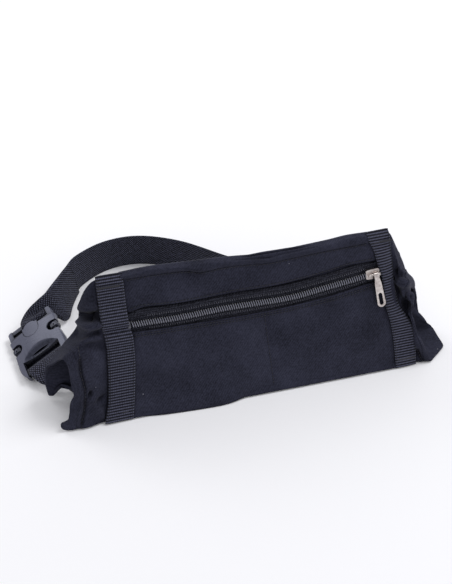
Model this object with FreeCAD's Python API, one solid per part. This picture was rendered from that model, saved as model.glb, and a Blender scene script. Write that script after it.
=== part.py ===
import FreeCAD
import Part
import math
import os
from FreeCAD import Placement, Rotation, Vector

# A waist pack: a flat fabric sleeve, open at both ends, with a zipped pocket on its front.
# It stands on its base with the front leaning back, and its closed belt loops round behind it.
# Millimetres. X runs along the pack, Y from front to back, Z up.

# Driving dimensions of the sleeve
LEAN = 21.0                   # the front leans back from the vertical, degrees
PANEL_HEIGHT = 141.0          # front height, measured along its slope
CLOTH = 1.2                   # thickness of one folded fabric layer
GAP = 0.3                     # air between neighbouring pieces
BASE_DEPTH = 44.0             # depth of the base on the floor
BACK_SLOPE = 0.11             # the back wall moves back this much per mm of height
BACK_HEIGHT = 124.8
POCKET_DEPTH = 2.8            # air inside the empty pocket
HEM = 9.0                     # width of a folded hem

# Zipper
ZIP_RISE = 0.0395             # slope of the zipper along the front
ZIP_MIDDLE = 96.5             # height of the coil at x = 0, along the front
ZIP_WINDOW = 12.0             # from the coil's centre to either fabric edge
TAPE_HALF = 18.0
TAPE = 0.6
COIL_WIDTH = 3.0              # one half of the coil
COIL_HEIGHT = 2.5
COIL_SPLIT = 0.5              # from the zipper's centre line to either coil
ZIP_LEFT = -114.5
ZIP_RIGHT = 117.5
SLIDER_AT = 112.0             # closed, the slider is at the right end
SLIDER_LENGTH = 13.0
SLIDER_HALF = 4.8
PULL_LENGTH = 34.0
PULL_WIDTH = 8.0
PULL_OFFSET = 2.4             # the tab hangs from the bridge's right half
PULL_SKEW = 7.0               # the tab hangs a little to the right, degrees
PULL_TILT = 4.5               # and leans in towards the cloth, degrees

# Webbing
STRIP = 1.5                   # thickness of the two strips over the pocket's ends
BELT = 1.6
BELT_HALF = 19.0

# Buckle, in its own frame: x across, y from the female end to the male end, z up
BUCKLE_AT = Vector(-195.7, 99.8, 17.0)
BUCKLE_YAW = 9.0
BUCKLE_TILT = 29.0
BUCKLE_HALF = 27.3
BUCKLE_THICK = 6.4            # half the thickness at the middle
FEMALE_MOUTH = 21.0
FEMALE_END = -31.0
MALE_END = 34.0
MALE_HALF = 25.0
ARM_PIVOT = (14.5, 17.5)
SLOT_HALF = 20.4

SIN = math.sin(math.radians(LEAN))
COS = math.cos(math.radians(LEAN))
COIL_FOOT = -CLOTH - GAP                      # the tape's outer face
TAPE_FOOT = COIL_FOOT - TAPE
SLEEVE_OUT = -CLOTH - POCKET_DEPTH            # outer face of the sleeve's front layer
SLEEVE_IN = SLEEVE_OUT - CLOTH
FLOOR_V = (CLOTH + GAP + 0.3) / COS           # where the front layers start, above the base


def prism(points, low, high):
    """A straight solid over an outline in the XY plane."""
    corners = [Vector(x, y, low) for x, y in points]
    face = Part.Face(Part.makePolygon(corners + corners[:1]))
    return face.extrude(Vector(0, 0, high - low))


def side_prism(points, left, right):
    """A straight solid along X over an outline in the YZ plane."""
    corners = [Vector(left, y, z) for y, z in points]
    face = Part.Face(Part.makePolygon(corners + corners[:1]))
    return face.extrude(Vector(right - left, 0, 0))


def front_prism(points, low, high):
    """A straight solid along Y over an outline in the XZ plane."""
    corners = [Vector(x, low, z) for x, z in points]
    face = Part.Face(Part.makePolygon(corners + corners[:1]))
    return face.extrude(Vector(0, high - low, 0))


def box(x, y, z):
    """A box between pairs of limits."""
    return Part.makeBox(x[1] - x[0], y[1] - y[0], z[1] - z[0], Vector(x[0], y[0], z[0]))


FRONT_FRAME = Placement(Vector(0, 0, 0), Rotation(Vector(1, 0, 0), 90 - LEAN))
ZIP_FRAME = FRONT_FRAME * Placement(Vector(0, ZIP_MIDDLE, 0),
                                    Rotation(Vector(0, 0, 1), math.degrees(math.atan(ZIP_RISE))))
BUCKLE_TURN = Rotation(Vector(0, 0, 1), BUCKLE_YAW) * Rotation(Vector(0, 1, 0), -BUCKLE_TILT)
BUCKLE_FRAME = Placement(BUCKLE_AT, BUCKLE_TURN)


def moved(shape, frame):
    """A copy of a shape, carried from one of the frames above to the pack's frame."""
    placed = shape.copy()
    placed.Placement = frame * placed.Placement
    return placed


def on_front(shape):
    """From the front's own frame: along, up the slope, outwards."""
    return moved(shape, FRONT_FRAME)


def on_zip(shape):
    """From the zipper's own frame: along the coil, across it, outwards."""
    return moved(shape, ZIP_FRAME)


def on_buckle(shape):
    """From the buckle's own frame."""
    return moved(shape, BUCKLE_FRAME)


def slope_point(v, w):
    """A point of the front's frame as (y, z) in the pack's frame."""
    return (v * SIN - w * COS, v * COS + w * SIN)


def back_y(z):
    """Outer face of the back wall at a height."""
    return BASE_DEPTH + BACK_SLOPE * z


# ---- Sleeve -----------------------------------------------------------------

SLEEVE_TOP = 137.5
LEFT_FRONT = [(-152, SLEEVE_TOP), (-158, 115), (-162, 95), (-174, 64), (-176, 42), (-181, 18)]
RIGHT_FRONT = [(160, 30), (154, 54), (150, 77), (143, 98), (131, SLEEVE_TOP)]
LEFT_BACK = [(-148, 130), (-157, 104), (-160, 84), (-172, 69), (-184, 54), (-191, 38), (-192, 16), (-190, 0)]
BASE_PLAN = [(-187, 0), (-176, -1), (170, -1), (179, 4), (188, 16), (188, 80), (-197, 80), (-197, 40),
             (-187, 40), (-173, 24)]
RIGHT_BACK = [(187, 0), (187, 5), (172, 26), (162, 48), (155, 72), (144, 96), (130, 135)]


def sleeve_front():
    """The front layer of the sleeve, which is also the pocket's back."""
    start = FLOOR_V + CLOTH + 1.0
    outline = LEFT_FRONT + [(-186, start), (168, start)] + RIGHT_FRONT
    return on_front(prism(outline, SLEEVE_IN, SLEEVE_OUT))


def sleeve_back():
    """The back layer and the base, one folded sheet."""
    outside = [(-1, 0), (BASE_DEPTH, 0), (back_y(BACK_HEIGHT), BACK_HEIGHT), (-1, BACK_HEIGHT)]
    wall = side_prism(outside, -200, 200)
    corner = [e for e in wall.Edges if all(abs(v.Z) < 0.1 and v.Y > 40 for v in e.Vertexes)]
    wall = wall.makeFillet(5.0, corner)
    inside = [(-3, CLOTH), (BASE_DEPTH - CLOTH, CLOTH),
              (back_y(BACK_HEIGHT + 5) - CLOTH, BACK_HEIGHT + 5), (-3, BACK_HEIGHT + 5)]
    hollow = side_prism(inside, -201, 201)
    corner = [e for e in hollow.Edges if all(abs(v.Z - CLOTH) < 0.1 and v.Y > 40 for v in e.Vertexes)]
    hollow = hollow.makeFillet(4.0, corner)
    outline = front_prism(LEFT_BACK + RIGHT_BACK, -10, 80)
    plan = prism(BASE_PLAN, -5, 150)
    return wall.cut(hollow).common(outline).common(plan).Solids[0]


def edge_band(edge, inward):
    """An outline HEM wide along one edge of a layer."""
    return edge + [(x + inward * HEM, y) for x, y in reversed(edge)]


def mouth_hem_front(edge, inward):
    """The folded edge of the sleeve's mouth on the front layer."""
    foot = SLEEVE_OUT + GAP
    return on_front(prism(edge_band(edge, inward), foot, foot + 0.8))


def mouth_hem_back(edge, inward):
    """The folded edge of the sleeve's mouth on the back layer."""
    band = front_prism(edge_band([p for p in edge if 8 < p[1] < 120], inward), 0, 80)
    outer = [(back_y(z) + shift, z) for shift, z in ((GAP, 8), (GAP + 0.8, 8), (GAP + 0.8, 120), (GAP, 120))]
    return side_prism(outer, -200, 200).common(band).Solids[0]


def top_hem():
    """The folded band that closes the top, between the two strips."""
    low = 117.0
    outer = [slope_point(131.5, 1.2), slope_point(141.6, 1.2),
             (back_y(126.4) + 1.2, 126.4), (back_y(low) + 1.2, low)]
    inner = [slope_point(129, GAP), slope_point(140.4, GAP),
             (back_y(125.2) + GAP, 125.2), (back_y(low - 9) + GAP, low - 9)]
    return side_prism(outer, -116, 107).cut(side_prism(inner, -117, 108)).Solids[0]


# ---- Pocket front and zipper ------------------------------------------------

# The inner edge of either strip, as (x, height); the right strip bends round the zipper's slider
STRIP_LEFT = [(-125, FLOOR_V), (-116.5, PANEL_HEIGHT)]
STRIP_RIGHT = [(132, FLOOR_V), (127, 48), (123, 67), (119.2, 92), (118.9, 106), (108, PANEL_HEIGHT)]
STRIP_WIDTHS = (-25.0, 23.0)  # signed: each strip lies outside its inner edge


def zip_height(x):
    return ZIP_MIDDLE + ZIP_RISE * x


def pocket_upper():
    edge = [(-141, zip_height(-141) + ZIP_WINDOW), (134, zip_height(134) + ZIP_WINDOW)]
    return on_front(prism(edge + [(128.5, 139.2), (-139, 139.2)], -CLOTH, 0))


def pocket_lower():
    edge = [(139, zip_height(139) - ZIP_WINDOW), (-143, zip_height(-143) - ZIP_WINDOW)]
    return on_front(prism([(-148, FLOOR_V), (151.5, FLOOR_V)] + edge, -CLOTH, 0))


def webbing_strip(inner, width):
    outline = inner + [(x + width, v) for x, v in reversed(inner)]
    return on_front(prism(outline, GAP, GAP + STRIP))


def edge_at(edge, v):
    """Where a strip's inner edge is at a height."""
    k = next(i for i in range(len(edge) - 1) if v <= edge[i + 1][1])
    (x0, v0), (x1, v1) = edge[k], edge[k + 1]
    return x0 + (x1 - x0) * (v - v0) / (v1 - v0)


def strip_bartacks():
    """Dense sewn bars across both ends of both strips."""
    tacks = []
    for inner, width in zip((STRIP_LEFT, STRIP_RIGHT), STRIP_WIDTHS):
        for v in (8.0, 130.0):
            left, right = sorted((edge_at(inner, v), edge_at(inner, v) + width))
            face = GAP + STRIP
            tacks.append(on_front(box((left + 2.5, right - 2.5), (v, v + 1.8), (face, face + 0.5))))
    return Part.Compound(tacks)


def zip_tape(side):
    """One woven tape, sewn under the fabric's folded edge."""
    across = sorted((side * COIL_SPLIT, side * TAPE_HALF))
    return on_zip(box((ZIP_LEFT - 16, ZIP_RIGHT + 10), across, (TAPE_FOOT, COIL_FOOT)))


def zip_coil(side):
    """One half of the coil, a low rounded bar."""
    across = sorted((side * COIL_SPLIT, side * (COIL_SPLIT + COIL_WIDTH)))
    bar = box((ZIP_LEFT, ZIP_RIGHT), across, (COIL_FOOT, COIL_FOOT + COIL_HEIGHT))
    top = [e for e in bar.Edges if e.Length > 50 and e.BoundBox.ZMin > COIL_FOOT + 1
           and abs(e.BoundBox.Center.y) > COIL_SPLIT + 1]
    return on_zip(bar.makeFillet(1.2, top))


def zip_stops():
    """The bottom stop, clamped over the coil's left end."""
    foot = COIL_FOOT
    block = box((ZIP_LEFT - 3.6, ZIP_LEFT - GAP), (-3.4, 3.4), (foot, foot + 2.7))
    block = block.makeFillet(0.8, [e for e in block.Edges if e.BoundBox.ZMin > foot + 1])
    return on_zip(block)


def slider_body():
    """Top plate with side flanges, bottom plate, the neck between them and the bridge."""
    top = COIL_FOOT + COIL_HEIGHT + GAP
    half = SLIDER_LENGTH / 2
    wide = SLIDER_HALF
    plate = [(-half, -3.9), (-half + 1.5, -4.4), (0, -wide), (half - 1, -wide), (half, -3.6), (half, 3.6),
             (half - 1, wide), (0, wide), (-half + 1.5, 4.4), (-half, 3.9)]
    upper = prism(plate, top, top + 1.2)
    lower = prism(plate, TAPE_FOOT - 0.25 - 1.0, TAPE_FOOT - 0.25)
    flanges = prism(plate, COIL_FOOT + GAP, top).cut(box((-20, 20), (-3.8, 3.8), (-5, 5)))
    neck = box((half - 4.0, half - 0.8), (-0.2, 0.2), (TAPE_FOOT - 0.4, top + 0.1))
    body = upper.fuse([lower, flanges, neck])
    legs = [box((x - 0.8, x + 0.8), (-1.3, 1.3), (top + 1.0, top + 4.1)) for x in (-3.6, 5.6)]
    bar = Part.makeCylinder(0.8, 9.2, Vector(-3.6, 0, bridge_height()), Vector(1, 0, 0))
    body = body.fuse(legs + [bar]).removeSplitter()
    body.translate(Vector(SLIDER_AT, 0, 0))
    return on_zip(body)


def bridge_height():
    """Height of the bridge's round bar over the cloth's outer face."""
    return COIL_FOOT + COIL_HEIGHT + GAP + 1.2 + 0.2 + 1.75


def slider_pull():
    """A stamped tab with a long hole, its top rolled round the bridge's bar."""
    eye = Part.makeCylinder(1.75, 4.4, Vector(-2.2, 0, 0), Vector(1, 0, 0))
    thick = 1.2
    neck = [(-2.2, 0), (2.2, 0), (2.2, -4), (-2.2, -4)]
    r = PULL_WIDTH / 2
    foot = -PULL_LENGTH + r
    tab = prism([(-2.2, -3.2), (2.2, -3.2), (r * 0.8, -9), (r, foot), (-r, foot), (-r * 0.8, -9)], 0, thick)
    tab = tab.fuse(Part.makeCylinder(r, thick, Vector(0, foot, 0)))
    hole = box((-1.9, 1.9), (foot, foot + 9), (-1, 3)).fuse(
        [Part.makeCylinder(1.9, 4, Vector(0, foot, -1)), Part.makeCylinder(1.9, 4, Vector(0, foot + 9, -1))])
    tab = tab.cut(hole).fuse(prism(neck, 0, thick))
    tab.rotate(Vector(0, 0, 0), Vector(0, 0, 1), PULL_SKEW)
    tab.translate(Vector(0, 0, 0.55))
    pull = tab.fuse(eye)
    pull = pull.cut(Part.makeCylinder(1.1, 6, Vector(-3, 0, 0), Vector(1, 0, 0))).removeSplitter()
    pull.rotate(Vector(0, 0, 0), Vector(1, 0, 0), PULL_TILT)
    pull.translate(Vector(SLIDER_AT + PULL_OFFSET, 0, bridge_height()))
    return on_zip(pull)


# ---- Belt -------------------------------------------------------------------

BELT_HEIGHT = 48.0            # height of the belt's middle where it is sewn on
FOLD_RADIUS = 10.0            # the belt folds back behind the pack's right end
FOLD_AT = 139.0


def buckle_point(x, y, z):
    """A point of the buckle's frame in the pack's frame."""
    return BUCKLE_FRAME.multVec(Vector(x, y, z))


def strap(stations, thick, shift=0.0):
    """Flat webbing lofted through stations of (middle, direction of travel, across)."""
    rings = []
    for middle, travel, across in stations:
        across = across.normalize()
        normal = across.cross(travel).normalize()
        middle = middle + normal * shift
        corners = [middle + across * (a * BELT_HALF) + normal * (b * thick / 2)
                   for a, b in ((-1, -1), (1, -1), (1, 1), (-1, 1))]
        rings.append(Part.makePolygon(corners + corners[:1]))
    return Part.makeLoft(rings, True, True)


def smooth_stations(route, count, first=0.0, last=1.0):
    """Stations along one smooth curve through a route of (x, y, z, outward lean in degrees)."""
    curve = Part.BSplineCurve()
    curve.interpolate([Vector(x, y, z) for x, y, z, lean in route])
    marks = [curve.parameter(Vector(x, y, z)) for x, y, z, lean in route]
    stations = []
    for i in range(count + 1):
        at = curve.FirstParameter + (first + (last - first) * i / count) * (
            curve.LastParameter - curve.FirstParameter)
        travel = curve.tangent(at)[0]
        k = max(j for j in range(len(marks) - 1) if marks[j] <= at + 1e-9)
        share = (at - marks[k]) / (marks[k + 1] - marks[k])
        lean = math.radians(route[k][3] + share * (route[k + 1][3] - route[k][3]))
        outward = Vector(travel.y, -travel.x, 0).normalize()
        across = Vector(0, 0, 1) * math.cos(lean) + outward * math.sin(lean)
        stations.append((curve.value(at), Vector(travel.x, travel.y, 0), across))
    return stations


def belt_route():
    """The belt's middle line, from its sewn end to just short of the buckle."""
    wall = back_y(BELT_HEIGHT) + GAP + BELT / 2 + 0.2
    wall_lean = -math.degrees(math.atan(BACK_SLOPE))
    route = [(x, wall, BELT_HEIGHT, wall_lean) for x in (104, 113, 122, 131)]
    for k in range(5):
        turn = math.radians(45 * k)
        route.append((FOLD_AT + FOLD_RADIUS * math.sin(turn),
                      wall + FOLD_RADIUS * (1 - math.cos(turn)), BELT_HEIGHT, wall_lean * (1 - k / 4)))
    route += [(104, wall + 24, 45, 0), (60, 92, 37, 0), (30, 122, 30, 0), (2, 154, 24, 0),
              (-36, 194, 19.2, 0), (-76, 213, 19, 0), (-112, 212, 19, 2), (-142, 198, 19, 6)]
    return route + [(-160, 180, 19, 12), (-171, 164, 18.6, 20)]


def belt_webbing():
    """The long belt from the sewn end to the start of the twist."""
    return strap(smooth_stations(belt_route(), 72), BELT)


def belt_tail():
    """The spare end, folded back along the inside of the belt."""
    stations = smooth_stations(belt_route(), 6, 0.955, 1.0)
    return strap(stations, BELT, BELT + 0.2)


def belt_end():
    """The last of the belt and its tail, which flexes as the buckle opens."""
    start = smooth_stations(belt_route(), 2)[-1]
    middle, travel, across = start
    travel = travel.normalize()
    bar = buckle_point(0, MALE_END + 2.6, 0)
    along = BUCKLE_TURN.multVec(Vector(0, -1, 0))
    wide = BUCKLE_TURN.multVec(Vector(-1, 0, 0))
    stations = []
    steps = 8
    reach = (bar - middle).Length
    first = middle + travel * 0.5
    for i in range(steps + 1):
        t = i / steps
        point = (first * (1 - t) ** 3 + (first + travel * reach * 0.4) * (3 * t * (1 - t) ** 2)
                 + (bar - along * reach * 0.3) * (3 * t * t * (1 - t)) + bar * t ** 3)
        heading = (travel * (1 - t) + along * t).normalize()
        turned = Rotation(across, wide)
        axis, angle = turned.Axis, math.degrees(turned.Angle)
        side = Rotation(axis, angle * (3 * t * t - 2 * t ** 3)).multVec(across)
        side = side - heading * side.dot(heading)
        stations.append((point, heading, side))
    return strap(stations, 2 * BELT + 0.2)


def webbing_ring(hole_y, hole_z):
    """Webbing wrapped once round a buckle's bar."""
    outer = box((-BELT_HALF, BELT_HALF), (hole_y[0] - BELT, hole_y[1] + BELT), (-hole_z - BELT, hole_z + BELT))
    outer = outer.makeFillet(2.4, [e for e in outer.Edges if e.Length > 30])
    return outer.cut(box((-30, 30), hole_y, (-hole_z, hole_z)))


def belt_loop():
    """The belt wrapped round the male half's bar."""
    return on_buckle(webbing_ring((MALE_END - 4.8, MALE_END + 0.3), 2.2))


def short_strap():
    """The short strap from the back of the left end to the female half."""
    ring = on_buckle(webbing_ring((FEMALE_END + 1.7, FEMALE_END + 10.3), 2.4))
    wall = back_y(30) + GAP + BELT + 0.2
    start = buckle_point(0, FEMALE_END + 0.6, 0)
    low = buckle_point(0, FEMALE_END - 1.6, 0)
    along = BUCKLE_TURN.multVec(Vector(0, -1, 0))
    wide = BUCKLE_TURN.multVec(Vector(1, 0, 0))
    upright = Vector(0, BACK_SLOPE, 1).normalize()
    corner = Vector(-183.5, wall + 0.6, 26)
    stations = [(start, along, wide)]
    steps = 8
    for i in range(steps + 1):
        t = i / steps
        point = low * (1 - t) ** 2 + corner * (2 * t * (1 - t)) + Vector(-168, wall, 29) * t * t
        heading = (along * (1 - t) + Vector(1, 0, 0) * t).normalize()
        side = (wide * (1 - t) + upright * t).normalize()
        side = side - heading * side.dot(heading)
        stations.append((point, heading, side))
    stations.append((Vector(-140, wall, 30), Vector(1, 0, 0), upright))
    return ring.fuse(strap(stations, 2 * BELT)).removeSplitter()


def anchor_stitching():
    """Sewn bars that fasten the belt to the back."""
    bars = []
    face = back_y(BELT_HEIGHT) + GAP + BELT + 0.3
    for x in (106.0, 114.0, 122.0):
        bar = box((x, x + 1.8), (face, face + 0.5), (BELT_HEIGHT - 15, BELT_HEIGHT + 15))
        bar.rotate(Vector(x, face, BELT_HEIGHT), Vector(1, 0, 0), -math.degrees(math.atan(BACK_SLOPE)))
        bars.append(bar)
    return Part.Compound(bars)


# ---- Buckle -----------------------------------------------------------------

def arc_face(points):
    """A face in the XY plane from pairs of (start, middle) points: each pair is an arc to the next start."""
    edges = []
    count = len(points)
    for i, (start, middle) in enumerate(points):
        stop = points[(i + 1) % count][0]
        a = Vector(start[0], start[1], 0)
        b = Vector(stop[0], stop[1], 0)
        if middle is None:
            edges.append(Part.makeLine(a, b))
        else:
            edges.append(Part.Arc(a, Vector(middle[0], middle[1], 0), b).toShape())
    return Part.Face(Part.Wire(edges))


def lens_prism(half, thick, edge, low, high):
    """A solid along Y whose section is crowned on top and below, with rounded sides."""
    side = half - edge
    a = [(-side, edge), (0, thick), (side, edge), (half, 0), (side, -edge), (0, -thick), (-side, -edge), (-half, 0)]
    points = [Vector(x, low, z) for x, z in a]
    edges = [Part.Arc(points[0], points[1], points[2]).toShape(),
             Part.Arc(points[2], points[3], points[4]).toShape(),
             Part.Arc(points[4], points[5], points[6]).toShape(),
             Part.Arc(points[6], points[7], points[0]).toShape()]
    return Part.Face(Part.Wire(edges)).extrude(Vector(0, high - low, 0))


def buckle_female():
    """The female half: a crowned shell, open at the mouth, with side windows and a webbing slot."""
    h = BUCKLE_HALF
    top, end = FEMALE_MOUTH, FEMALE_END
    outline = arc_face([((-h, top), None), ((h, top), (h - 1.8, 5)), ((h, -12), (h - 0.6, -20)),
                        ((h - 3.0, end + 4), (h - 4.6, end + 1)), ((h - 8, end), None),
                        ((8 - h, end), (4.6 - h, end + 1)), ((3.0 - h, end + 4), (0.6 - h, -20)),
                        ((-h, -12), (1.8 - h, 5))])
    outline.translate(Vector(0, 0, -8))
    body = outline.extrude(Vector(0, 0, 16)).common(lens_prism(h + 0.3, BUCKLE_THICK, 3.6, end - 1, top + 1))
    ramp = Part.makeCone(31.0, 40.0, 4.9, Vector(0, -42.6, 1.8), Vector(0, 0, 1))
    notch = Part.makeCylinder(9.3, 8, Vector(0, 18.6, 0)).fuse(box((-9.3, 9.3), (18.6, 24), (0, 8)))
    body = body.cut(ramp.common(box((-SLOT_HALF - 4, SLOT_HALF + 4), (-13.2, 5), (0, 8)))).cut(notch)
    body = body.cut(box((-SLOT_HALF, SLOT_HALF), (-21.0, -13.0), (-3.4, 8)))
    body = body.cut(box((-SLOT_HALF, SLOT_HALF), (-21.0, -16.4), (-8, 8)))
    for low, high in ((2.1, 8), (-8, -2.1)):
        body = body.cut(box((-SLOT_HALF, SLOT_HALF), (end - 1, -20.9), (low, high)))
    body = body.cut(box((-SLOT_HALF, SLOT_HALF), (end - 1, end + 2), (-8, 8)))
    body = body.cut(box((-23.6, 23.6), (-11.0, 22), (-3.1, 3.1)))
    for side in (-1, 1):
        window = Part.makeCylinder(6.2, 16, Vector(side * 21.2, 6.6, -8)).fuse(
            box(sorted((side * 21.2, side * 30)), (0.4, 12.8), (-8, 8)))
        body = body.cut(window)
    return on_buckle(body.Solids[0])


def buckle_male():
    """The male half: the webbing bar, side rails, the crowned tongue and its guide."""
    frame = box((-MALE_HALF, MALE_HALF), (FEMALE_MOUTH + 0.5, MALE_END), (-2.9, 2.9))
    upright = [e for e in frame.Edges if abs(e.Vertexes[0].Z - e.Vertexes[-1].Z) > 1 and e.BoundBox.YMin > 30]
    frame = frame.makeFillet(3.0, upright)
    frame = frame.cut(box((-SLOT_HALF, SLOT_HALF), (24.4, 29.5), (-4, 4)))
    trim = box((-SLOT_HALF, SLOT_HALF), (29, 36), (1.9, 4)).fuse(box((-SLOT_HALF, SLOT_HALF), (29, 36), (-4, -1.9)))
    frame = frame.cut(trim)
    guide = box((-11.6, 11.6), (14, 22), (-2.6, 2.6)).fuse(box((-4.5, 4.5), (-8, 20), (-2.2, 2.2)))
    dome = Part.makeCylinder(8.8, 6.2, Vector(0, 18.6, 0)).fuse(box((-8.8, 8.8), (18.6, 24.2), (0, 6.2)))
    dome = dome.common(lens_prism(30, 6.2, 3.0, 0, 30))
    body = frame.fuse([guide, dome])
    for side in (-1, 1):
        socket = Part.makeCylinder(2.15, 12, Vector(side * ARM_PIVOT[0], ARM_PIVOT[1], -6))
        away = box(sorted((side * (ARM_PIVOT[0] + 0.2), side * 30)), (8, FEMALE_MOUTH + 0.4), (-6, 6))
        body = body.cut(socket).cut(away)
    return on_buckle(body.removeSplitter().Solids[0])


def buckle_arm(side):
    """One springy side arm with the pad that is pressed to open the buckle."""
    x, y = ARM_PIVOT
    root = Part.makeCylinder(2.0, 5.0, Vector(x, y, -2.5))
    blade = prism([(x - 1.2, y - 1.4), (x + 1.6, y + 1.2), (22.6, 13.6), (23.2, 12.0), (23.2, 2.0),
                   (20.2, 1.2), (19.4, 9.0)], -2.5, 2.5)
    pad = arc_face([((18.6, 4.6), (17.8, 7.2)), ((18.6, 9.8), (21.8, 10.9)), ((25.6, 10.6), (26.6, 7.2)),
                    ((25.6, 3.8), (21.8, 3.5))])
    pad.translate(Vector(0, 0, -3.2))
    pad = pad.extrude(Vector(0, 0, 6.4))
    pad = pad.makeFillet(0.7, [e for e in pad.Edges if abs(abs(e.BoundBox.ZMin) - 3.2) < 0.01
                               and abs(e.BoundBox.ZMax - e.BoundBox.ZMin) < 0.01])
    mark = prism([(19.4, 4.6), (25.2, 4.6), (22.3, 9.9)], -4.0, 4.0)
    mark = mark.cut(prism([(20.9, 5.5), (23.7, 5.5), (22.3, 8.1)], -5, 5))
    arm = root.fuse([blade, pad, mark]).removeSplitter()
    if side < 0:
        arm = arm.mirror(Vector(0, 0, 0), Vector(1, 0, 0))
    return on_buckle(arm)


def pieces():
    return {
        "sleeve_front": sleeve_front(),
        "sleeve_back": sleeve_back(),
        "mouth_hem_left_front": mouth_hem_front(LEFT_FRONT, 1),
        "mouth_hem_right_front": mouth_hem_front(RIGHT_FRONT, -1),
        "mouth_hem_left_back": mouth_hem_back(LEFT_BACK, 1),
        "mouth_hem_right_back": mouth_hem_back(RIGHT_BACK, -1),
        "top_hem": top_hem(),
        "pocket_upper": pocket_upper(),
        "pocket_lower": pocket_lower(),
        "strip_left": webbing_strip(STRIP_LEFT, STRIP_WIDTHS[0]),
        "strip_right": webbing_strip(STRIP_RIGHT, STRIP_WIDTHS[1]),
        "strip_bartacks": strip_bartacks(),
        "zip_tape_upper": zip_tape(1),
        "zip_tape_lower": zip_tape(-1),
        "zip_coil_upper": zip_coil(1),
        "zip_coil_lower": zip_coil(-1),
        "zip_bottom_stop": zip_stops(),
        "slider_body": slider_body(),
        "slider_pull": slider_pull(),
        "belt_webbing": belt_webbing(),
        "belt_tail": belt_tail(),
        "belt_end": belt_end(),
        "belt_loop": belt_loop(),
        "short_strap": short_strap(),
        "anchor_stitching": anchor_stitching(),
        "buckle_female": buckle_female(),
        "buckle_male": buckle_male(),
        "buckle_arm_left": buckle_arm(-1),
        "buckle_arm_right": buckle_arm(1),
    }


def ground_shift(shapes):
    """The move that puts the origin under the middle of the whole pack, on the floor."""
    boxes = [shape.optimalBoundingBox(False) for shape in shapes.values()]
    left, right = min(b.XMin for b in boxes), max(b.XMax for b in boxes)
    front, back = min(b.YMin for b in boxes), max(b.YMax for b in boxes)
    return Vector(-(left + right) / 2, -(front + back) / 2, -min(b.ZMin for b in boxes))


def main():
    os.makedirs("parts", exist_ok=True)
    shapes = pieces()
    shift = ground_shift(shapes)
    for name, shape in shapes.items():
        shape.translate(shift)
        shape.exportStep(f"parts/{name}.step")
        size = shape.optimalBoundingBox(False)
        print(f"{name:24s} valid {shape.isValid()} solids {len(shape.Solids)} volume {shape.Volume:9.1f}"
              f" x {size.XMin:7.1f} {size.XMax:7.1f} y {size.YMin:7.1f} {size.YMax:7.1f}"
              f" z {size.ZMin:6.1f} {size.ZMax:6.1f}")
    print("shift", shift)


main()
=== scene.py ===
import bpy
import math
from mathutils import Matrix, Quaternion, Vector, noise


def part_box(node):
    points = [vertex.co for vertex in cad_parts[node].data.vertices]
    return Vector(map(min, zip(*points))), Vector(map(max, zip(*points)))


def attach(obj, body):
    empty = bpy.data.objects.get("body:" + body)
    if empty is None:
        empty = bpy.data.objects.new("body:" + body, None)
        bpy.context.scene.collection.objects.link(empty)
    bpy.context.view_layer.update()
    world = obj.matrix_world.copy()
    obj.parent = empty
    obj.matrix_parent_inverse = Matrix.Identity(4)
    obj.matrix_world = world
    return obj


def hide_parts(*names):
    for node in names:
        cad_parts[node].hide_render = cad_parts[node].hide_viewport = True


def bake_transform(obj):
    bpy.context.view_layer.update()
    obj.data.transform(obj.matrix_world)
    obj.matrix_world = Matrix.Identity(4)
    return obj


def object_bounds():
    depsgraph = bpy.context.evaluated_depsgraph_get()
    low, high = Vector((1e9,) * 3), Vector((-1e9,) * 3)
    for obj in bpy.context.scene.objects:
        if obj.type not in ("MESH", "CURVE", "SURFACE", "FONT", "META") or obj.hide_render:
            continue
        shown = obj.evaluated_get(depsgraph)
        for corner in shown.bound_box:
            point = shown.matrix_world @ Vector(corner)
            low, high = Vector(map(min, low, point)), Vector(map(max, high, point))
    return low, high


# A waist pack of black cotton cloth, standing on its base with its belt closed behind it.
# Lengths below are millimetres in the pack's own axes: X along the pack from the middle of its
# front edge, Y to the back, Z up. make_piece() turns them into the frame's metres.

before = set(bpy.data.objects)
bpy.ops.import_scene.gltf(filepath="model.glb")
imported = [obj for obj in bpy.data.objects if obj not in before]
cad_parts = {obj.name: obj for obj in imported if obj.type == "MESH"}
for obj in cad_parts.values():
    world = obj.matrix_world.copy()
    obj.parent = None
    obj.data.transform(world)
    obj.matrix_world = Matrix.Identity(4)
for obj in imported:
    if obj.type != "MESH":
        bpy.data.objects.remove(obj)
CAD_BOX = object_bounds()
MM = 0.001

# Driving dimensions, as in the CAD model
LEAN = math.radians(21)
SIN, COS = math.sin(LEAN), math.cos(LEAN)
PANEL_HEIGHT = 141.0
BASE_DEPTH = 44.0
BACK_SLOPE = 0.11
CLOTH = 1.2
ZIP_RISE = 0.0395
ZIP_MIDDLE = 96.5
ZIP_LEFT = -114.5
ZIP_RIGHT = 117.5
BELT_HALF = 19.0
BELT = 1.6

# Flat cuts of the four sheets in metres, from the CAD solids and not from the cloth modelled here:
# length along the pack, width across it, and, where the ends slant, volume over thickness as area.
LOWER_CUT = (0.2995, 0.0888)
LOWER_AREA = 0.0240
UPPER_CUT = (0.275, 0.0371)
UPPER_AREA = 0.00837


def pack_origin():
    """The middle of the pack's front edge on the floor, worked out from two CAD boxes."""
    hem_low, hem_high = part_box("top_hem")
    back_low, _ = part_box("sleeve_back")
    return Vector(((hem_low.x + hem_high.x) / 2 + 4.5 * MM, back_low.y + 1 * MM, back_low.z))


ORIGIN = pack_origin()
OUT = Vector((0, -COS, SIN))                # outwards from the leaning front
UP_SLOPE = Vector((0, SIN, COS))            # up along the leaning front


def at(x, y, z):
    """A point in the pack's axes."""
    return Vector((x, y, z))


def front(u, v, w=0.0):
    """A point on the leaning front: along, up the slope, outwards."""
    return Vector((u, 0, 0)) + UP_SLOPE * v + OUT * w


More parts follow.
